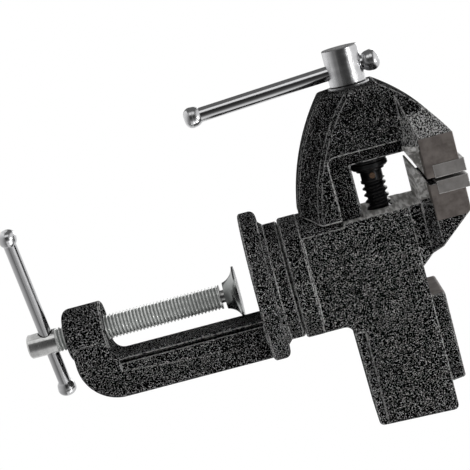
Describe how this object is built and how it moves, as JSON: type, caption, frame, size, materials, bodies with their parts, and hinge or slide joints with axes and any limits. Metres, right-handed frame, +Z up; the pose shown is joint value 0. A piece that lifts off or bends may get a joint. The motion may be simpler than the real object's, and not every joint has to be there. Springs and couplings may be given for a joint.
{
  "type": "clamp-on swivel bench vise",
  "caption": "Small bench vise that clamps to a table edge: sliding jaw on a lead screw, flat anvil at the back, swivelling on a C-shaped table clamp.",
  "frame": {"origin": "on the swivel axis, at the underside of the clamp's table plate, where it rests on the table top", "axes": "+Z up along the swivel axis and the clamp screw, +X towards the anvil and the spine of the C-clamp, -X towards the hub of the lead screw, Y across the jaws"},
  "size_m": [0.1839, 0.0746, 0.2274],
  "materials": {
    "cast_paint": "hammered black paint with light grey flecks",
    "zinc_steel": "zinc plated, satin",
    "chrome_steel": "bright nickel plating",
    "black_steel": "black oxide, oiled",
    "jaw_steel": "ground hardened steel",
    "copper_pin": "plain copper-coloured pin"
  },
  "bodies": {
    "clamp_frame": {"clamp_frame": "cast_paint"},
    "vise_body": {"fixed_body": "cast_paint", "swivel_bolt": "black_steel", "swivel_washer": "zinc_steel", "rear_jaw_plate": "jaw_steel", "rear_plate_screws": "black_steel", "lead_nut": "black_steel"},
    "moving_jaw": {"moving_jaw": "cast_paint", "front_jaw_plate": "jaw_steel", "front_plate_screws": "black_steel"},
    "lead_screw": {"lead_screw": "black_steel", "hub_washer": "chrome_steel", "thrust_washer": "black_steel", "retaining_collar": "black_steel", "retaining_pin": "copper_pin"},
    "lead_bar": {"lead_bar": "chrome_steel", "lead_bar_knobs": "chrome_steel"},
    "clamp_pad": {"clamp_pad": "zinc_steel"},
    "clamp_screw": {"clamp_screw": "zinc_steel"},
    "clamp_bar": {"clamp_bar": "chrome_steel", "clamp_bar_knobs": "chrome_steel"}
  },
  "joints": [
    {"name": "swivel", "type": "hinge", "parent": "clamp_frame", "child": "vise_body", "pos_m": [0, 0, 0.02], "axis": [0, 0, 1], "continuous": true},
    {"name": "jaw_slide", "type": "slide", "parent": "vise_body", "child": "moving_jaw", "axis": [-1, 0, 0], "range_m": [-0.0015, 0.048]},
    {"name": "lead_screw_turn", "type": "hinge", "parent": "moving_jaw", "child": "lead_screw", "pos_m": [-0.0932, 0, 0.0687], "axis": [-1, 0, 0], "range_deg": [-170, 5401]},
    {"name": "lead_bar_slide", "type": "slide", "parent": "lead_screw", "child": "lead_bar", "axis": [-0.0506, 0, 0.9987], "range_m": [0, 0.0637]},
    {"name": "clamp_pad_slide", "type": "slide", "parent": "clamp_frame", "child": "clamp_pad", "axis": [0, 0, 1], "range_m": [-0.0603, 0.004]},
    {"name": "clamp_screw_turn", "type": "hinge", "parent": "clamp_pad", "child": "clamp_screw", "pos_m": [0, 0, -0.05], "axis": [0, 0, 1], "range_deg": [-12406, 824]},
    {"name": "clamp_bar_slide", "type": "slide", "parent": "clamp_screw", "child": "clamp_bar", "axis": [0.9693, 0.2417, 0.0454], "range_m": [-0.01668, 0.04948]}
  ],
  "couplings": [
    {"joint": "lead_screw_turn", "follows": "jaw_slide", "rad_per_m": 1963.5},
    {"joint": "clamp_screw_turn", "follows": "clamp_pad_slide", "rad_per_m": 3590.4}
  ]
}
